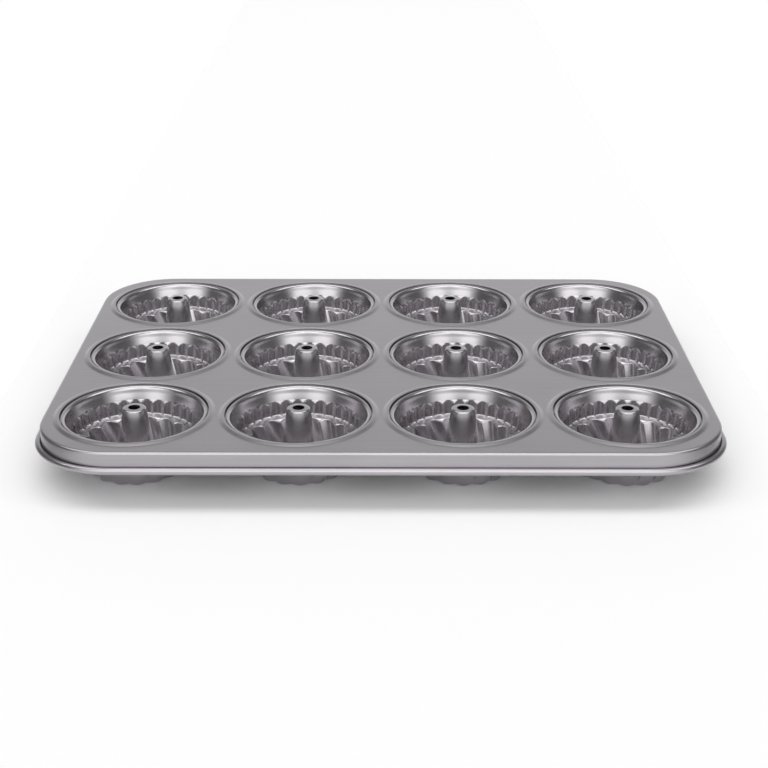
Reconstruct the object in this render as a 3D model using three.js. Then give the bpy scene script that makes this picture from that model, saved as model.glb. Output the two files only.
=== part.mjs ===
// Mini ring cake pan: a sheet-metal deck with a wired rolled edge carries twelve separate
// ring-shaped cups, each hung by its flange on a pressed seat. Millimetres, +Z up. The origin is
// on the surface that the pan stands on, under the middle of the deck.

import * as THREE from 'three';

// Sheet and fits
const SHEET = 0.6;
const CLEARANCE = 0.3;

// Pattern of the cups
const COLUMNS = 4;
const ROWS = 3;
const LAND_X = 1.2; // flat deck left between neighbouring lips, along the length
const LAND_Y = 1.2; // the same across the width

// Mouth of a cup and its flange
const MOUTH_RADIUS = 35.2;
const FLANGE_WIDTH = 1.8;
const FLANGE_DROP = 0.8; // from the top of the deck's lip down to the flange's top

// Wall and floor of a cup, on its inner face
const CUP_HEIGHT = 29.2; // from the flange's top to the underside of the floor
const BAND_HEIGHT = 7.2; // plain band under the flange
const BAND_RADIUS = 33.2; // at the foot of the plain band
const TIER_HEIGHT = 6.3; // steep tier below the plain band
const TIER_RADIUS = 32.1; // at the foot of that tier
const SHELF_WIDTH = 3.2; // sloping shelf below the tier, where the ribs begin
const SHELF_DROP = 1.5;
const HEEL_HEIGHT = 2.2; // rounded edge between wall and floor
const HEEL_RADIUS = 25.2;
const FLOOR_RADIUS = 23.6;

// Swirled ribs that part the flutes
const FLUTES = 16;
const RIB_DEPTH = 2.2;
const RIB_SPREAD = 5.6; // degrees from a rib's crest to the flute beside it
const SWIRL = 13; // degrees that a rib turns on its way down to the floor
const CUP_TURN = 18; // degrees that each cup is turned further than the one before

// Centre tube, on the cake's side
const TUBE_HEIGHT = 32.3; // from the underside of the floor to the tube's top
const TUBE_TOP_RADIUS = 5.8;
const TUBE_FOOT_RADIUS = 10.9;
const TUBE_BEVEL = 0.9;
const TUBE_HOLE_RADIUS = 3.05;

// Raised lip pressed into the deck round each seat
const LIP_RISE = 0.85;
const LIP_TOP_WIDTH = 1.4;
const LIP_SLOPE_WIDTH = 2.2; // from the lip's top out to the flat deck

// Border of the deck, its skirt and its rolled edge
const BORDER_X = 4.8; // from the outermost lips to the skirt, along the length
const BORDER_Y = 6.1; // the same across the width
const CORNER_RADIUS = 40;
const BEND_RADIUS = 1.2;
const BEAD_DROP = 9.2; // from the deck's top to the middle of the rolled edge
const WIRE_RADIUS = 0.9;
const BEAD_WRAP = 292; // degrees that the edge is rolled round the wire

// Facets
const MOUTH_SIDES = 32;
const TUBE_SIDES = 16;
const CORNER_STEPS = 8;
const BEND_STEPS = 4;
const BEAD_STEPS = 10;
const WIRE_SIDES = 8;

// Derived places
const FLANGE_RADIUS = MOUTH_RADIUS + FLANGE_WIDTH;
const SEAT_RADIUS = FLANGE_RADIUS + CLEARANCE;
const LIP_RADIUS = SEAT_RADIUS + LIP_TOP_WIDTH;
const LIP_FOOT_RADIUS = LIP_RADIUS + LIP_SLOPE_WIDTH;
const PITCH_X = 2 * LIP_FOOT_RADIUS + LAND_X;
const PITCH_Y = 2 * LIP_FOOT_RADIUS + LAND_Y;
const HALF_LENGTH = (COLUMNS - 1) / 2 * PITCH_X + LIP_FOOT_RADIUS + BORDER_X;
const HALF_WIDTH = (ROWS - 1) / 2 * PITCH_Y + LIP_FOOT_RADIUS + BORDER_Y;

const FLANGE_TOP = CUP_HEIGHT;
const FLANGE_UNDERSIDE = FLANGE_TOP - SHEET;
const BAND_FOOT = FLANGE_TOP - BAND_HEIGHT;
const TIER_FOOT = BAND_FOOT - TIER_HEIGHT;
const SHOULDER = TIER_FOOT - SHELF_DROP;
const SHOULDER_RADIUS = TIER_RADIUS - SHELF_WIDTH;
const LEDGE_TOP = FLANGE_UNDERSIDE - CLEARANCE;
const LIP_TOP = FLANGE_TOP + FLANGE_DROP;
const DECK_TOP = LIP_TOP - LIP_RISE;
const DECK_UNDERSIDE = DECK_TOP - SHEET;
const BEAD_CENTRE = DECK_TOP - BEAD_DROP;
const BEAD_INNER_RADIUS = WIRE_RADIUS + CLEARANCE;
const NECK_RADIUS = MOUTH_RADIUS + SHEET - (MOUTH_RADIUS - BAND_RADIUS) * SHEET / BAND_HEIGHT;

const radians = THREE.MathUtils.degToRad;

// A closed skin put together from closed loops of points
class Skin {
  constructor() {
    this.points = [];
    this.triangles = [];
  }

  addLoop(points) {
    const first = this.points.length;
    this.points.push(...points);
    return points.map((point, i) => first + i);
  }

  // Band of triangles between two loops, which may differ in their number of points
  zip(a, b) {
    let i = 0;
    let j = 0;
    while (i < a.length || j < b.length) {
      const fromA = a[i % a.length];
      const fromB = b[j % b.length];
      if ((i + 1) / a.length <= (j + 1) / b.length) {
        i += 1;
        this.triangles.push(fromA, a[i % a.length], fromB);
      } else {
        j += 1;
        this.triangles.push(fromA, b[j % b.length], fromB);
      }
    }
  }

  zipAll(loops) {
    loops.slice(1).forEach((loop, i) => this.zip(loops[i], loop));
  }

  // Flat face inside an outer loop and round the hole loops, looking up or down
  fill(outer, holes, up) {
    const flat = (loop) => loop.map((v) => new THREE.Vector2(this.points[v].x, this.points[v].y));
    const faces = THREE.ShapeUtils.triangulateShape(flat(outer), holes.map(flat));
    const all = [outer, ...holes].flat();
    for (const face of faces) {
      const [a, b, c] = face.map((v) => all[v]);
      const counterclockwise = THREE.ShapeUtils.area(flat([a, b, c])) > 0;
      this.triangles.push(a, ...(counterclockwise === up ? [b, c] : [c, b]));
    }
  }

  toGeometry() {
    const geometry = new THREE.BufferGeometry().setFromPoints(this.points);
    geometry.setIndex(this.triangles);
    geometry.computeVertexNormals();
    return geometry;
  }
}

function polar(radius, degrees, z) {
  const angle = radians(degrees);
  return new THREE.Vector3(radius * Math.cos(angle), radius * Math.sin(angle), z);
}

function roundLoop(radius, z, sides, turn) {
  return Array.from({ length: sides }, (_, i) => polar(radius, turn + 360 * i / sides, z));
}

// Loop of flutes at a radius, with a rib of a given depth between each two
function flutedLoop(radius, depth, z, turn) {
  const pitch = 360 / FLUTES;
  return Array.from({ length: FLUTES }, (_, i) => [
    polar(radius - depth, turn + pitch * i, z),
    polar(radius, turn + pitch * i + RIB_SPREAD, z),
    polar(radius, turn + pitch * (i + 1) - RIB_SPREAD, z),
  ]).flat();
}

// One cup as a single drawn sheet: flange, plain band, tier, swirled flutes, floor and pierced tube
function cupGeometry(turn) {
  const swirlAt = (z) => turn - SWIRL * (TIER_FOOT - z) / TIER_FOOT;
  const footTurn = swirlAt(0);

  const cakeSide = [
    roundLoop(FLANGE_RADIUS, FLANGE_TOP, MOUTH_SIDES, turn),
    roundLoop(MOUTH_RADIUS, FLANGE_TOP, MOUTH_SIDES, turn),
    roundLoop(BAND_RADIUS, BAND_FOOT, MOUTH_SIDES, turn),
    roundLoop(TIER_RADIUS, TIER_FOOT, MOUTH_SIDES, turn),
    flutedLoop(SHOULDER_RADIUS, RIB_DEPTH, SHOULDER, swirlAt(SHOULDER)),
    flutedLoop(HEEL_RADIUS, RIB_DEPTH, HEEL_HEIGHT + SHEET, swirlAt(HEEL_HEIGHT)),
    flutedLoop(FLOOR_RADIUS, RIB_DEPTH, SHEET, footTurn),
    roundLoop(TUBE_FOOT_RADIUS, SHEET, TUBE_SIDES, footTurn),
    roundLoop(TUBE_TOP_RADIUS, TUBE_HEIGHT - TUBE_BEVEL, TUBE_SIDES, footTurn),
    roundLoop(TUBE_TOP_RADIUS - TUBE_BEVEL, TUBE_HEIGHT, TUBE_SIDES, footTurn),
    roundLoop(TUBE_HOLE_RADIUS, TUBE_HEIGHT, TUBE_SIDES, footTurn),
  ];
  const underside = [
    roundLoop(TUBE_HOLE_RADIUS, TUBE_HEIGHT - SHEET, TUBE_SIDES, footTurn),
    roundLoop(TUBE_TOP_RADIUS - SHEET, TUBE_HEIGHT - TUBE_BEVEL, TUBE_SIDES, footTurn),
    roundLoop(TUBE_FOOT_RADIUS - SHEET, 0, TUBE_SIDES, footTurn),
    flutedLoop(FLOOR_RADIUS + SHEET / 2, RIB_DEPTH, 0, footTurn),
    flutedLoop(HEEL_RADIUS + SHEET, RIB_DEPTH, HEEL_HEIGHT, swirlAt(HEEL_HEIGHT)),
    flutedLoop(SHOULDER_RADIUS + SHEET, RIB_DEPTH, SHOULDER - SHEET / 2, swirlAt(SHOULDER)),
    roundLoop(TIER_RADIUS + SHEET, TIER_FOOT - SHEET / 2, MOUTH_SIDES, turn),
    roundLoop(BAND_RADIUS + SHEET, BAND_FOOT, MOUTH_SIDES, turn),
    roundLoop(NECK_RADIUS, FLANGE_UNDERSIDE, MOUTH_SIDES, turn),
    roundLoop(FLANGE_RADIUS, FLANGE_UNDERSIDE, MOUTH_SIDES, turn),
  ];

  const skin = new Skin();
  const loops = [...cakeSide, ...underside].map((points) => skin.addLoop(points));
  skin.zipAll([...loops, loops[0]]);
  return skin.toGeometry();
}

// Loop round the pan's plan, at a distance outside the face of the skirt
function borderLoop(outside, z) {
  const radius = CORNER_RADIUS + outside;
  const corners = [[1, 1, 0], [-1, 1, 90], [-1, -1, 180], [1, -1, 270]];
  return corners.flatMap(([sideX, sideY, start]) => {
    const centre = new THREE.Vector3(
      sideX * (HALF_LENGTH - CORNER_RADIUS),
      sideY * (HALF_WIDTH - CORNER_RADIUS),
      0,
    );
    return Array.from({ length: CORNER_STEPS + 1 }, (_, i) =>
      polar(radius, start + 90 * i / CORNER_STEPS, z).add(centre));
  });
}

// Points of an arc in the section of the edge, as distance outside the skirt and height
function sectionArc(outside, z, radius, start, sweep, steps) {
  return Array.from({ length: steps + 1 }, (_, i) => {
    const angle = radians(start + sweep * i / steps);
    return [outside + radius * Math.cos(angle), z + radius * Math.sin(angle)];
  });
}

// Section of the edge from the underside of the deck round the bead and back to its top
function edgeSection() {
  const bendCentre = DECK_TOP - BEND_RADIUS - SHEET;
  const outerBend = BEND_RADIUS + SHEET;
  const beadOuter = BEAD_INNER_RADIUS + SHEET;
  const beadTip = 180 + BEAD_WRAP;
  return [
    ...sectionArc(-outerBend, bendCentre, BEND_RADIUS, 90, -90, BEND_STEPS),
    ...sectionArc(BEAD_INNER_RADIUS, BEAD_CENTRE, beadOuter, 180, BEAD_WRAP, BEAD_STEPS),
    ...sectionArc(BEAD_INNER_RADIUS, BEAD_CENTRE, BEAD_INNER_RADIUS, beadTip, -BEAD_WRAP, BEAD_STEPS),
    ...sectionArc(-outerBend, bendCentre, outerBend, 0, 90, BEND_STEPS),
  ];
}

// Middle of each cup and the turn of its flutes, from the back row's left end
function cupPlaces() {
  const places = [];
  for (let row = 0; row < ROWS; row += 1) {
    for (let column = 0; column < COLUMNS; column += 1) {
      const x = (column - (COLUMNS - 1) / 2) * PITCH_X;
      const y = ((ROWS - 1) / 2 - row) * PITCH_Y;
      const turn = places.length * CUP_TURN % (360 / FLUTES);
      const name = `cup_row${row + 1}_col${column + 1}`;
      places.push({ name, centre: new THREE.Vector3(x, y, 0), turn });
    }
  }
  return places;
}

// Deck with its pressed seats, skirt and rolled edge, all one sheet
function deckGeometry() {
  const ledgeRadius = NECK_RADIUS + CLEARANCE;
  const seatSection = [
    [LIP_FOOT_RADIUS, DECK_TOP],
    [LIP_RADIUS, LIP_TOP],
    [SEAT_RADIUS, LIP_TOP],
    [SEAT_RADIUS, LEDGE_TOP],
    [ledgeRadius, LEDGE_TOP],
    [ledgeRadius, LEDGE_TOP - SHEET],
    [SEAT_RADIUS + SHEET, LEDGE_TOP - SHEET],
    [SEAT_RADIUS + SHEET, LIP_TOP - SHEET],
    [LIP_FOOT_RADIUS, DECK_UNDERSIDE],
  ];

  const skin = new Skin();
  const edge = edgeSection().map(([outside, z]) => skin.addLoop(borderLoop(outside, z)));
  skin.zipAll(edge);

  const seats = cupPlaces().map(({ centre, turn }) => seatSection.map(([radius, z]) =>
    skin.addLoop(roundLoop(radius, z, MOUTH_SIDES, turn).map((point) => point.add(centre)))));
  seats.forEach((loops) => skin.zipAll(loops));

  skin.fill(edge.at(-1), seats.map((loops) => loops.at(0)), true);
  skin.fill(edge.at(0), seats.map((loops) => loops.at(-1)), false);
  return skin.toGeometry();
}

// Wire inside the rolled edge, one closed loop
function wireGeometry() {
  const section = sectionArc(BEAD_INNER_RADIUS, BEAD_CENTRE, WIRE_RADIUS, -90, 360, WIRE_SIDES);
  const skin = new Skin();
  const loops = section.slice(0, -1).map(([outside, z]) => skin.addLoop(borderLoop(outside, z)));
  skin.zipAll([...loops, loops[0]]);
  return skin.toGeometry();
}

function namedMesh(name, geometry, material) {
  const mesh = new THREE.Mesh(geometry, material);
  mesh.name = name;
  return mesh;
}

const coating = new THREE.MeshStandardMaterial({ color: 0x96949a, roughness: 0.45, metalness: 0.6 });
const brightMetal = new THREE.MeshStandardMaterial({ color: 0xb9b7ba, roughness: 0.2, metalness: 1 });
const wireSteel = new THREE.MeshStandardMaterial({ color: 0x8c8c90, roughness: 0.4, metalness: 1 });

const pan = new THREE.Group();
pan.add(namedMesh('tray_deck', deckGeometry(), coating));
pan.add(namedMesh('rim_wire', wireGeometry(), wireSteel));
cupPlaces().forEach(({ name, centre, turn }) => {
  const cup = namedMesh(name, cupGeometry(turn), brightMetal);
  cup.position.copy(centre);
  pan.add(cup);
});

export default pan;
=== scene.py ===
"""Mini ring cake pan: fine sheet-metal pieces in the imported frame, a plain floor and soft light."""

import math

import bmesh
import bpy
import numpy as np
from mathutils import Matrix, Vector
from mathutils.geometry import tessellate_polygon


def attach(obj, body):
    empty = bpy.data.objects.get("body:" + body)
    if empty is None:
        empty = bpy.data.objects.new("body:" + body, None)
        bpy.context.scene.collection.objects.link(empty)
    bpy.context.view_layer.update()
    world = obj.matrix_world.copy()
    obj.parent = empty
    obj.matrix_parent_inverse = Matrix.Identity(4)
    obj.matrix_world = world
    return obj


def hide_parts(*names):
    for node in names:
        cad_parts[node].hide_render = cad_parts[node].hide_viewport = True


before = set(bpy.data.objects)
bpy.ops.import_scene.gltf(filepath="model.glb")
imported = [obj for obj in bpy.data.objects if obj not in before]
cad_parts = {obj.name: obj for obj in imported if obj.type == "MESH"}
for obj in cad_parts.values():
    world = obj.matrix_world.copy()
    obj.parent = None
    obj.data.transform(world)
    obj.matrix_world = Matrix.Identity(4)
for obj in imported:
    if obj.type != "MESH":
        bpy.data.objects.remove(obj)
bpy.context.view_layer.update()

MM = 0.001

# Sizes of the tray, in millimetres and degrees
SHEET = 0.6
COLUMNS, ROWS = 4, 3
PITCH = 83.0
HALF_LENGTH, HALF_WIDTH = 170.19, 129.99
CORNER_RADIUS = 40.0
DECK_TOP = 29.15
BEND_RADIUS = 1.4
BEND_MARGIN = 0.8
BEAD_CENTRE = 19.95
BEAD_INNER_RADIUS = 1.2
BEAD_WRAP = 292.0
WIRE_RADIUS = 0.9
LIP_FOOT_RADIUS = 40.6
LIP_CREST_RADIUS = 38.8
LIP_TOP = 30.0
LIP_MARGIN = 0.5
LIP_FOOT_INSET, LIP_CREST_INSET = 0.1, 0.2
SEAT_RADIUS = 37.35
LEDGE_RADIUS = 35.95
LEDGE_TOP = 28.1

# Sizes of a cup, from its flange down to the floor and up the tube
FLANGE_RADIUS = 36.65
FLANGE_TOP = 29.3
FLANGE_EDGE = 0.2
MOUTH_RADIUS = 34.75
BAND_RADIUS, BAND_HEIGHT = 33.85, 26.2
SCALLOP_RADIUS, SCALLOP_TOP = 32.55, 22.8
TIER_RADIUS, TIER_FOOT = 31.4, 15.5
SHOULDER_RADIUS, SHOULDER = 28.9, 14.5
BASE_RADIUS = 24.9
TUBE_FOOT_RADIUS, TUBE_TOP_RADIUS = 10.9, 5.8
TUBE_TOP = 32.3
HOLE_RADIUS = 3.05
FLUTES = 16
FLUTE_ANGLE = 360.0 / FLUTES
CUP_TURN = 18.0

# Pressed relief of a cup; a rise is the depth gained for each millimetre going down
SWIRL_RATE = 0.8
SCALLOP_RISE, SCALLOP_DEPTH, SCALLOP_LIMIT, SCALLOP_BLEND = 0.36, 0.7, 1.2, 0.2
FOOT_TOP, FOOT_RISE, FOOT_SLOPE, FOOT_ROUNDING = 16.4, 0.5, 0.9, 0.2
RIB_TOP, RIB_RISE, RIB_DEPTH, RIB_LIMIT, RIB_BLEND = 15.4, 1.1, 2.2, 4.0, 0.3
RIB_FADE_RADII = 17.0, 23.0
PRESSED_RADIUS = 16.0
VALLEY_ROUNDING, RIDGE_ROUNDING = 0.12, 0.05

# Fineness of the meshes
MOUTH_SIDES = 96
CORNER_STEPS = 22
INNER_BEND_STEPS, OUTER_BEND_STEPS = 10, 12
OUTER_BEAD_STEPS, INNER_BEAD_STEPS = 26, 22
WIRE_SIDES = 16
ROUNDING_STEP = 14.0
CUP_SPACING, SEAT_SPACING = 0.55, 5.0
PLAIN_RADIUS, PLAIN_SPACING = 20.0, 6.0
FLUTE_PLACES = (0.0, 0.035, 0.075, 0.115, 0.16, 0.2, 0.25, 0.3, 0.37, 0.43)
SHARP_ANGLE = 40.0

# Looks of the metals: darkest and lightest colour, least and most roughness
RAMP_ENDS = 0.3, 0.7
DECK_COLOURS = (0.405, 0.386, 0.410), (0.455, 0.436, 0.460)
DECK_ROUGHNESS = 0.27, 0.35
DECK_BUMP = 0.12
CUP_COLOURS = (0.45, 0.433, 0.452), (0.49, 0.472, 0.492)
CUP_ROUGHNESS = 0.19, 0.26
CUP_BUMP = 0.035
WIRE_COLOURS = (0.42, 0.42, 0.43), (0.54, 0.54, 0.55)
WIRE_ROUGHNESS = 0.34, 0.5
BUMP_DISTANCE = 0.00005
NOISE_ROUGHNESS = 0.55

# Floor runner, in millimetres
FLOOR_HALF_WIDTH, FLOOR_HALF_LENGTH = 215.0, 3000.0
FLOOR_COLUMNS, FLOOR_ROWS = 7, 41
FLOOR_COLOUR = (0.96, 0.96, 0.96, 1.0)

# Levels of the dome against the height of a direction, at the sides, behind and in front
SIDE_LEVELS = (0.0, 0.26), (0.12, 0.14), (0.6, 0.16), (1.0, 0.60)
BACK_LEVELS = (
    (0.0, 1.05), (0.30, 0.84), (0.36, 0.73), (0.42, 0.63), (0.5, 0.62), (0.62, 0.70), (1.0, 0.60)
)
FRONT_LEVELS = (0.0, 0.85), (0.1, 1.0), (0.2, 1.15), (0.6, 1.15), (1.0, 0.60)
BEHIND_SPAN = 0.62, 0.88
AHEAD_SPAN = -0.4, -0.75
WHITE = (1.0, 1.0, 1.0, 1.0)

# Lamps: height, size in metres and radiance; then name, azimuth, elevation and radiance
STRIP_HEIGHT, STRIP_SIZE, STRIP_RADIANCE = 10.0, (26.0, 4.4), 1.9
SUN_SPREAD = 40.0
SUNS = [
    ("front_left", -29.0, 32.0, 0.75),
    ("front_right", 29.0, 32.0, 0.75),
    ("front_fill", 0.0, 50.0, 1.0),
]

# Camera fitted to the photograph: pixels, degrees and metres
FOCAL_PIXELS, FRAME_PIXELS = 1462.97, 768.0
SENSOR_WIDTH = 36.0
CAMERA_YAW, CAMERA_PITCH, CAMERA_ROLL = -0.1115, 22.7615, 0.055
CAMERA_PLACE = (0.0029321, -0.7591832, 0.3289678)
CAMERA_CLIP = 0.01, 100.0


class Skin:
    """Points and faces of one sheet, put together from loops."""

    def __init__(self):
        self.points = []
        self.faces = []

    def add_loop(self, points):
        first = len(self.points)
        self.points.extend(tuple(map(float, p)) for p in points)
        return list(range(first, len(self.points)))

    def bridge(self, a, b):
        count = len(a)
        for i in range(count):
            j = (i + 1) % count
            self.faces.append((a[i], a[j], b[j], b[i]))

    def bridge_all(self, loops):
        for a, b in zip(loops, loops[1:]):
            self.bridge(a, b)

    def fill(self, outer, holes):
        rings = [outer, *holes]
        flat = [[Vector((*self.points[v][:2], 0)) for v in ring] for ring in rings]
        order = [v for ring in rings for v in ring]
        for triangle in tessellate_polygon(flat):
            self.faces.append(tuple(order[v] for v in triangle))

    def to_mesh(self, name):
        mesh = bpy.data.meshes.new(name)
        mesh.from_pydata([(x * MM, y * MM, z * MM) for x, y, z in self.points], [], self.faces)
        bm = bmesh.new()
        bm.from_mesh(mesh)
        bmesh.ops.recalc_face_normals(bm, faces=bm.faces)
        bm.to_mesh(mesh)
        bm.free()
        mesh.shade_smooth()
        mesh.set_sharp_from_angle(angle=math.radians(SHARP_ANGLE))
        return mesh


def on_circle(angle):
    return np.array((math.cos(angle), math.sin(angle)))


def arc(centre, radius, start, end, steps):
    """Points of a circular arc in a section, from start to end degrees."""
    angles = np.radians(np.linspace(start, end, steps + 1))
    return [
        (centre[0] + radius * math.cos(a), centre[1] + radius * math.sin(a)) for a in angles
    ]


def smoothstep(low, high, value):
    t = np.clip((value - low) / (high - low), 0.0, 1.0)
    return t * t * (3.0 - 2.0 * t)


def soft_min(a, b, width):
    h = np.maximum(width - np.abs(a - b), 0.0) / width
    return np.minimum(a, b) - h * h * width / 4.0


def rounded_path(corners, spacing):
    """Polyline through the corners of a section, each rounded by its own radius or left sharp."""
    path = [np.array(corners[0][:2])]
    for before, here, after in zip(corners, corners[1:], corners[2:]):
        p, q, s = (np.array(c[:2], float) for c in (before, here, after))
        radius = here[2]
        if radius == 0.0:
            path.append(q)
            continue
        to_p, to_s = (p - q) / np.linalg.norm(p - q), (s - q) / np.linalg.norm(s - q)
        half = math.acos(max(-1.0, min(1.0, float(to_p @ to_s)))) / 2.0
        reach = radius / math.tan(half)
        middle = q + (to_p + to_s) / np.linalg.norm(to_p + to_s) * radius / math.sin(half)
        a = math.atan2(*(q + to_p * reach - middle)[::-1])
        b = math.atan2(*(q + to_s * reach - middle)[::-1])
        sweep = (b - a + math.pi) % (2.0 * math.pi) - math.pi
        steps = max(2, int(abs(sweep) / math.radians(ROUNDING_STEP)))
        path += [middle + radius * on_circle(a + sweep * i / steps) for i in range(steps + 1)]
    path.append(np.array(corners[-1][:2]))
    fine = [path[0]]
    for p, q in zip(path, path[1:]):
        limit = spacing if min(p[0], q[0]) > PLAIN_RADIUS else PLAIN_SPACING
        parts = max(1, math.ceil(np.linalg.norm(q - p) / limit))
        fine += [p + (q - p) * i / parts for i in range(1, parts + 1)]
    return np.array(fine)


# Cup: cake side of its section, as radius, height and radius of the rounding
CUP_SECTION = [
    (FLANGE_RADIUS, FLANGE_TOP - FLANGE_EDGE, 0.0),
    (FLANGE_RADIUS - FLANGE_EDGE, FLANGE_TOP, 0.15),
    (MOUTH_RADIUS, FLANGE_TOP, 2.0),
    (BAND_RADIUS, BAND_HEIGHT, 8.0),
    (SCALLOP_RADIUS, SCALLOP_TOP, 1.0),
    (TIER_RADIUS, TIER_FOOT, 0.35),
    (SHOULDER_RADIUS, SHOULDER, 0.35),
    (BASE_RADIUS, SHEET, 2.8),
    (TUBE_FOOT_RADIUS, SHEET, 1.8),
    (TUBE_TOP_RADIUS, TUBE_TOP, 1.0),
    (HOLE_RADIUS, TUBE_TOP, 0.0),
]

# Seat of a cup in the deck: over the lip to the ledge and back along the underside
SEAT_SECTION = [
    (LIP_FOOT_RADIUS + LIP_MARGIN, DECK_TOP, 0.0),
    (LIP_FOOT_RADIUS, DECK_TOP, 2.0),
    (LIP_CREST_RADIUS, LIP_TOP, 1.1),
    (SEAT_RADIUS, LIP_TOP, 0.25),
    (SEAT_RADIUS, LEDGE_TOP, 0.3),
    (LEDGE_RADIUS, LEDGE_TOP, 0.0),
    (LEDGE_RADIUS, LEDGE_TOP - SHEET, 0.0),
    (SEAT_RADIUS + SHEET, LEDGE_TOP - SHEET, 0.5),
    (SEAT_RADIUS + SHEET, LIP_TOP - SHEET, 0.2),
    (LIP_CREST_RADIUS - LIP_CREST_INSET, LIP_TOP - SHEET, 0.5),
    (LIP_FOOT_RADIUS - LIP_FOOT_INSET, DECK_TOP - SHEET, 1.0),
    (LIP_FOOT_RADIUS + LIP_MARGIN, DECK_TOP - SHEET, 0.0),
]


def scallop_depth(own, radius, z):
    """Depth of the tier's shallow arches, two to a flute, and of the ridge feet between them."""
    arch = (own / (FLUTE_ANGLE / 2.0) + 0.5) % 1.0 * 2.0 - 1.0
    crest = np.full_like(own, np.clip((SCALLOP_TOP - z) * SCALLOP_RISE, 0.0, SCALLOP_LIMIT))
    scallop = soft_min(crest, SCALLOP_DEPTH * arch**2, SCALLOP_BLEND)
    to_ridge = (1.0 - np.abs(arch)) * math.radians(FLUTE_ANGLE / 4.0) * radius
    foot = (FOOT_TOP - z) * FOOT_RISE - FOOT_SLOPE * to_ridge
    depth = np.maximum(scallop, 0.0) + (foot + np.hypot(foot, FOOT_ROUNDING)) / 2.0
    return depth * smoothstep(SHOULDER, TIER_FOOT, z)


def rib_depth(own, radius, z):
    """Depth of the flat-faceted ribs below the shoulder."""
    from_valley = np.hypot(own / FLUTE_ANGLE % 1.0 * 2.0 - 1.0, VALLEY_ROUNDING)
    facet = 1.0 - np.hypot(1.0 - from_valley, RIDGE_ROUNDING)
    crest = np.full_like(own, np.clip((RIB_TOP - z) * RIB_RISE, 0.0, RIB_LIMIT))
    rib = np.maximum(soft_min(crest, RIB_DEPTH * facet, RIB_BLEND), 0.0)
    return rib * smoothstep(*RIB_FADE_RADII, radius)


def cup_mesh():
    places = [-0.5, *(-p for p in FLUTE_PLACES[:0:-1]), *FLUTE_PLACES]
    own = np.concatenate([(i + np.array(places)) * FLUTE_ANGLE for i in range(FLUTES)])
    rows = []
    for radius, z in rounded_path(CUP_SECTION, CUP_SPACING):
        r = np.full_like(own, radius)
        if radius > PRESSED_RADIUS and z < SCALLOP_TOP:
            r -= scallop_depth(own, radius, z) + rib_depth(own, radius, z)
        angle = np.radians(own - SWIRL_RATE * max(0.0, TIER_FOOT - max(z, SHEET)))
        rows.append(np.stack([r * np.cos(angle), r * np.sin(angle), np.full_like(r, z)], axis=1))
    cake = np.array(rows)
    along = np.gradient(cake, axis=0)
    around = np.roll(cake, -1, axis=1) - np.roll(cake, 1, axis=1)
    normal = np.cross(around, along)
    normal /= np.linalg.norm(normal, axis=2, keepdims=True)
    under = cake - normal * SHEET * np.sign(normal[0, 0, 2])
    skin = Skin()
    loops = [skin.add_loop(row) for row in cake]
    loops += [skin.add_loop(row) for row in under[::-1]]
    skin.bridge_all([*loops, loops[0]])
    return skin.to_mesh("cup_sheet")


def border_loop(outside, z):
    """Loop round the pan's plan, at a distance outside the face of the skirt."""
    points = []
    for side_x, side_y, start in ((1, 1, 0), (-1, 1, 90), (-1, -1, 180), (1, -1, 270)):
        for i in range(CORNER_STEPS + 1):
            a = math.radians(start + 90.0 * i / CORNER_STEPS)
            points.append((
                side_x * (HALF_LENGTH - CORNER_RADIUS) + (CORNER_RADIUS + outside) * math.cos(a),
                side_y * (HALF_WIDTH - CORNER_RADIUS) + (CORNER_RADIUS + outside) * math.sin(a),
                z,
            ))
    return points


def cup_places():
    return [
        ((column - (COLUMNS - 1) / 2) * PITCH, ((ROWS - 1) / 2 - row) * PITCH)
        for row in range(ROWS)
        for column in range(COLUMNS)
    ]


def deck_mesh():
    bend = (-BEND_RADIUS, DECK_TOP - BEND_RADIUS)
    bead = (BEAD_INNER_RADIUS, BEAD_CENTRE)
    tip = 180.0 + BEAD_WRAP
    edge = [
        (-BEND_RADIUS - BEND_MARGIN, DECK_TOP - SHEET),
        *arc(bend, BEND_RADIUS - SHEET, 90, 0, INNER_BEND_STEPS),
        *arc(bead, BEAD_INNER_RADIUS + SHEET, 180, tip, OUTER_BEAD_STEPS),
        *arc(bead, BEAD_INNER_RADIUS, tip, 180, INNER_BEAD_STEPS),
        *arc(bend, BEND_RADIUS, 0, 90, OUTER_BEND_STEPS),
        (-BEND_RADIUS - BEND_MARGIN, DECK_TOP),
    ]
    seat = rounded_path(SEAT_SECTION, SEAT_SPACING)
    skin = Skin()
    edge_loops = [skin.add_loop(border_loop(outside, z)) for outside, z in edge]
    skin.bridge_all(edge_loops)
    angles = np.radians(np.arange(MOUTH_SIDES) * 360.0 / MOUTH_SIDES)
    tops, bottoms = [], []
    for x, y in cup_places():
        loops = [
            skin.add_loop([(x + r * math.cos(a), y + r * math.sin(a), z) for a in angles])
            for r, z in seat
        ]
        skin.bridge_all(loops)
        tops.append(loops[0])
        bottoms.append(loops[-1])
    skin.fill(edge_loops[-1], tops)
    skin.fill(edge_loops[0], bottoms)
    return skin.to_mesh("deck_sheet")


def wire_mesh():
    skin = Skin()
    section = arc((BEAD_INNER_RADIUS, BEAD_CENTRE), WIRE_RADIUS, 0, 360, WIRE_SIDES)[:-1]
    loops = [skin.add_loop(border_loop(outside, z)) for outside, z in section]
    skin.bridge_all([*loops, loops[0]])
    return skin.to_mesh("wire_round")


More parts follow.
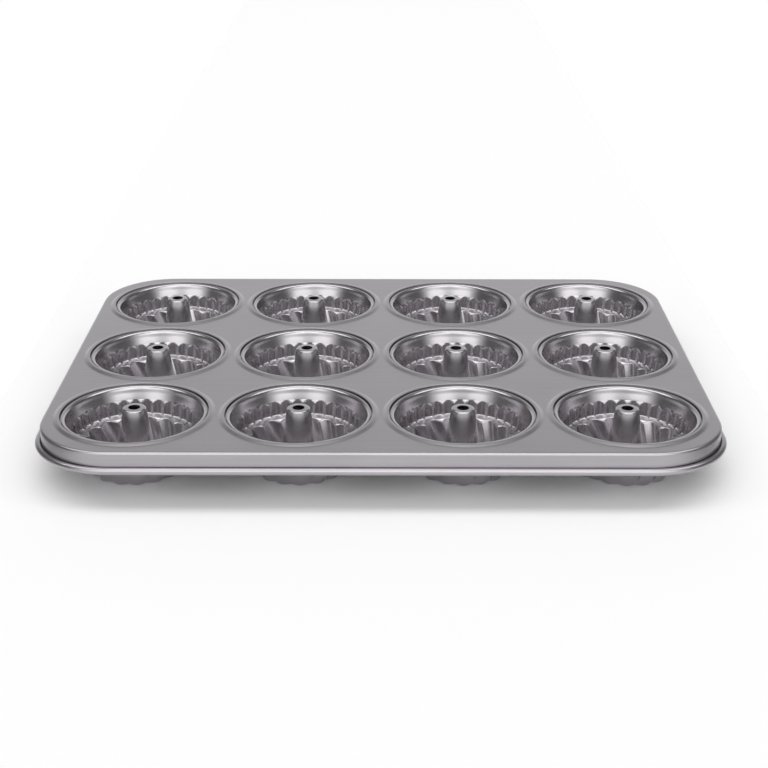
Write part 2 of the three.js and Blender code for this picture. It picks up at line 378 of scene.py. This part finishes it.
class Nodes:
    """Short way to add and link shader nodes in a material or world."""

    def __init__(self, owner):
        owner.use_nodes = True
        self.tree = owner.node_tree
        self.tree.nodes.clear()

    def add(self, kind, inputs=None, **settings):
        node = self.tree.nodes.new(kind)
        for key, value in settings.items():
            setattr(node, key, value)
        for key, value in (inputs or {}).items():
            if isinstance(value, bpy.types.NodeSocket):
                self.tree.links.new(value, node.inputs[key])
            else:
                node.inputs[key].default_value = value
        return node


def ramp(nodes, factor, stops):
    node = nodes.add("ShaderNodeValToRGB", {"Fac": factor})
    elements = node.color_ramp.elements
    for element, (place, colour) in zip(elements, (stops[0], stops[-1])):
        element.position = place
        element.color = (*colour, 1.0)
    for place, colour in stops[1:-1]:
        elements.new(place).color = (*colour, 1.0)
    return node.outputs["Color"]


def span(nodes, value, ends):
    inputs = {"Value": value, "To Min": ends[0], "To Max": ends[1]}
    return nodes.add("ShaderNodeMapRange", inputs).outputs["Result"]


def mask(nodes, value, ends):
    inputs = {"Value": value, "From Min": ends[0], "From Max": ends[1]}
    node = nodes.add("ShaderNodeMapRange", inputs, interpolation_type="SMOOTHSTEP")
    return node.outputs["Result"]


def blend(nodes, factor, first, second):
    inputs = {"Factor": factor, 6: first, 7: second}
    return nodes.add("ShaderNodeMix", inputs, data_type="RGBA").outputs[2]


def maths(nodes, operation, a, b):
    return nodes.add("ShaderNodeMath", {0: a, 1: b}, operation=operation).outputs["Value"]


def noise(nodes, vector, scale, detail):
    inputs = {"Vector": vector, "Scale": scale, "Detail": detail, "Roughness": NOISE_ROUGHNESS}
    return nodes.add("ShaderNodeTexNoise", inputs).outputs["Fac"]


def stretched(nodes, vector, scale):
    node = nodes.add("ShaderNodeVectorMath", {0: vector, 1: scale}, operation="MULTIPLY")
    return node.outputs["Vector"]


def add_metal(nodes, factor, colours, roughness, bump=None):
    """Metal whose colour and roughness follow a factor, with a bump given as height and strength."""
    inputs = {
        "Base Color": ramp(nodes, factor, list(zip(RAMP_ENDS, colours))),
        "Metallic": 1.0,
        "Roughness": span(nodes, factor, roughness),
    }
    if bump:
        relief = {"Height": bump[0], "Strength": bump[1], "Distance": BUMP_DISTANCE}
        inputs["Normal"] = nodes.add("ShaderNodeBump", relief).outputs["Normal"]
    shader = nodes.add("ShaderNodeBsdfPrincipled", inputs)
    nodes.add("ShaderNodeOutputMaterial", {"Surface": shader.outputs["BSDF"]})


def deck_material():
    """Satin coating with soft clouds, rolling streaks along the length and a fine grain."""
    material = bpy.data.materials.new("satin_coating")
    nodes = Nodes(material)
    place = nodes.add("ShaderNodeTexCoord").outputs["Object"]
    clouds = noise(nodes, place, 26.0, 4.0)
    rolled = noise(nodes, stretched(nodes, place, (12.0, 420.0, 420.0)), 1.0, 2.0)
    grain = noise(nodes, place, 2600.0, 2.0)
    mean = maths(nodes, "MULTIPLY", maths(nodes, "ADD", clouds, rolled), 0.5)
    add_metal(nodes, mean, DECK_COLOURS, DECK_ROUGHNESS, (grain, DECK_BUMP))
    return material


def cup_material():
    """Bright pressed sheet with soft clouds, drawing lines round the cup and a fine grain."""
    material = bpy.data.materials.new("bright_pressed_metal")
    nodes = Nodes(material)
    place = nodes.add("ShaderNodeTexCoord").outputs["Object"]
    axes = nodes.add("ShaderNodeSeparateXYZ", {"Vector": place}).outputs
    turn = maths(nodes, "ARCTAN2", axes["Y"], axes["X"])
    flat = stretched(nodes, place, (1.0, 1.0, 0.0))
    reach = nodes.add("ShaderNodeVectorMath", {0: flat}, operation="LENGTH").outputs["Value"]
    polar = nodes.add("ShaderNodeCombineXYZ", {"X": turn, "Y": reach, "Z": axes["Z"]})
    lines = stretched(nodes, polar.outputs["Vector"], (2.2, 1500.0, 1500.0))
    drawn = noise(nodes, lines, 1.0, 2.0)
    clouds = noise(nodes, place, 90.0, 4.0)
    grain = noise(nodes, place, 3200.0, 2.0)
    height = maths(nodes, "ADD", drawn, grain)
    add_metal(nodes, clouds, CUP_COLOURS, CUP_ROUGHNESS, (height, CUP_BUMP))
    return material


def wire_material():
    material = bpy.data.materials.new("drawn_wire")
    nodes = Nodes(material)
    place = nodes.add("ShaderNodeTexCoord").outputs["Object"]
    streaks = noise(nodes, place, 700.0, 3.0)
    add_metal(nodes, streaks, WIRE_COLOURS, WIRE_ROUGHNESS)
    return material


def link(thing):
    bpy.context.scene.collection.objects.link(thing)
    return thing


def add_piece(name, mesh, material, node):
    mesh.materials.clear()
    mesh.materials.append(material)
    piece = link(bpy.data.objects.new(name, mesh))
    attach(piece, "root")
    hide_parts(node)
    return piece


def add_floor():
    """Long pale runner that keeps the shadow, open to a camera below it."""
    skin = Skin()
    across = np.linspace(-FLOOR_HALF_WIDTH, FLOOR_HALF_WIDTH, FLOOR_COLUMNS)
    along = np.linspace(-FLOOR_HALF_LENGTH, FLOOR_HALF_LENGTH, FLOOR_ROWS)
    rows = [skin.add_loop([(x, y, 0.0) for x in across]) for y in along]
    for a, b in zip(rows, rows[1:]):
        skin.faces += [(a[i], a[i + 1], b[i + 1], b[i]) for i in range(len(across) - 1)]
    sheet = skin.to_mesh("floor")
    if sheet.polygons[0].normal.z < 0.0:
        sheet.flip_normals()
    material = bpy.data.materials.new("pale_floor")
    nodes = Nodes(material)
    top = nodes.add("ShaderNodeBsdfDiffuse", {"Color": FLOOR_COLOUR}).outputs["BSDF"]
    clear = nodes.add("ShaderNodeBsdfTransparent").outputs["BSDF"]
    below = nodes.add("ShaderNodeNewGeometry").outputs["Backfacing"]
    surface = nodes.add("ShaderNodeMixShader", {"Fac": below, 1: top, 2: clear})
    nodes.add("ShaderNodeOutputMaterial", {"Surface": surface.outputs["Shader"]})
    sheet.materials.append(material)
    link(bpy.data.objects.new("floor", sheet))


def add_sun(name, azimuth, elevation, radiance):
    """Far round light in a direction, in degrees from the front and above the floor."""
    light = bpy.data.lights.new(name, "SUN")
    light.angle = math.radians(SUN_SPREAD)
    light.energy = radiance * math.pi * math.sin(light.angle / 2.0) ** 2
    lamp = link(bpy.data.objects.new(name, light))
    turn, rise = math.radians(azimuth), math.radians(elevation)
    flat = math.cos(rise)
    source = Vector((math.sin(turn) * flat, -math.cos(turn) * flat, math.sin(rise)))
    lamp.rotation_mode = "QUATERNION"
    lamp.rotation_quaternion = source.to_track_quat("Z", "Y")


def add_strip(name, height, size, radiance):
    """Large far softbox overhead, long across the pan and narrow from front to back."""
    light = bpy.data.lights.new(name, "AREA")
    light.shape = "RECTANGLE"
    light.size, light.size_y = size
    light.energy = radiance * math.pi * size[0] * size[1]
    lamp = link(bpy.data.objects.new(name, light))
    lamp.location = (0.0, 0.0, height)


def add_light():
    """Dome that is dark at the sides, one long light overhead and three wide lights in front."""
    world = bpy.data.worlds.new("studio")
    bpy.context.scene.world = world
    nodes = Nodes(world)
    direction = nodes.add("ShaderNodeTexCoord").outputs["Generated"]
    axes = nodes.add("ShaderNodeSeparateXYZ", {"Vector": direction}).outputs
    side, back, front = (
        ramp(nodes, axes["Z"], [(place, (level,) * 3) for place, level in levels])
        for levels in (SIDE_LEVELS, BACK_LEVELS, FRONT_LEVELS)
    )
    level = blend(nodes, mask(nodes, axes["Y"], BEHIND_SPAN), side, back)
    level = blend(nodes, mask(nodes, axes["Y"], AHEAD_SPAN), level, front)
    dome = nodes.add("ShaderNodeBackground", {"Color": level, "Strength": 1.0})
    backdrop = nodes.add("ShaderNodeBackground", {"Color": WHITE, "Strength": 1.0})
    seen = nodes.add("ShaderNodeLightPath").outputs["Is Camera Ray"]
    surface = nodes.add("ShaderNodeMixShader", {
        "Fac": seen, 1: dome.outputs["Background"], 2: backdrop.outputs["Background"]
    })
    nodes.add("ShaderNodeOutputWorld", {"Surface": surface.outputs["Shader"]})
    add_strip("overhead", STRIP_HEIGHT, STRIP_SIZE, STRIP_RADIANCE)
    for sun in SUNS:
        add_sun(*sun)


def add_camera():
    yaw, pitch, roll = (math.radians(a) for a in (CAMERA_YAW, CAMERA_PITCH, CAMERA_ROLL))
    data = bpy.data.cameras.new("camera")
    data.sensor_fit = "HORIZONTAL"
    data.sensor_width = SENSOR_WIDTH
    data.lens = FOCAL_PIXELS / FRAME_PIXELS * SENSOR_WIDTH
    data.clip_start, data.clip_end = CAMERA_CLIP
    flat = math.cos(pitch)
    forward = Vector((math.sin(yaw) * flat, math.cos(yaw) * flat, -math.sin(pitch)))
    right = Vector((math.cos(yaw), -math.sin(yaw), 0.0))
    up = right.cross(forward)
    x_axis = math.cos(roll) * right + math.sin(roll) * up
    y_axis = math.cos(roll) * up - math.sin(roll) * right
    turned = Matrix((x_axis, y_axis, -forward)).transposed().to_4x4()
    camera = link(bpy.data.objects.new("camera", data))
    camera.matrix_world = Matrix.Translation(CAMERA_PLACE) @ turned
    bpy.context.scene.camera = camera


bpy.context.scene.view_settings.view_transform = "Standard"
add_camera()
add_light()
add_floor()

add_piece("deck", deck_mesh(), deck_material(), "tray_deck")
add_piece("wire", wire_mesh(), wire_material(), "rim_wire")
cup_sheet, cup_metal = cup_mesh(), cup_material()
for index, (x, y) in enumerate(cup_places()):
    row, column = divmod(index, COLUMNS)
    name = f"cup_row{row + 1}_col{column + 1}"
    cup = add_piece(f"{name}_visual", cup_sheet, cup_metal, name)
    turn = Matrix.Rotation(math.radians(index * CUP_TURN % FLUTE_ANGLE), 4, "Z")
    cup.matrix_world = Matrix.Translation((x * MM, y * MM, 0.0)) @ turn

bpy.context.view_layer.update()
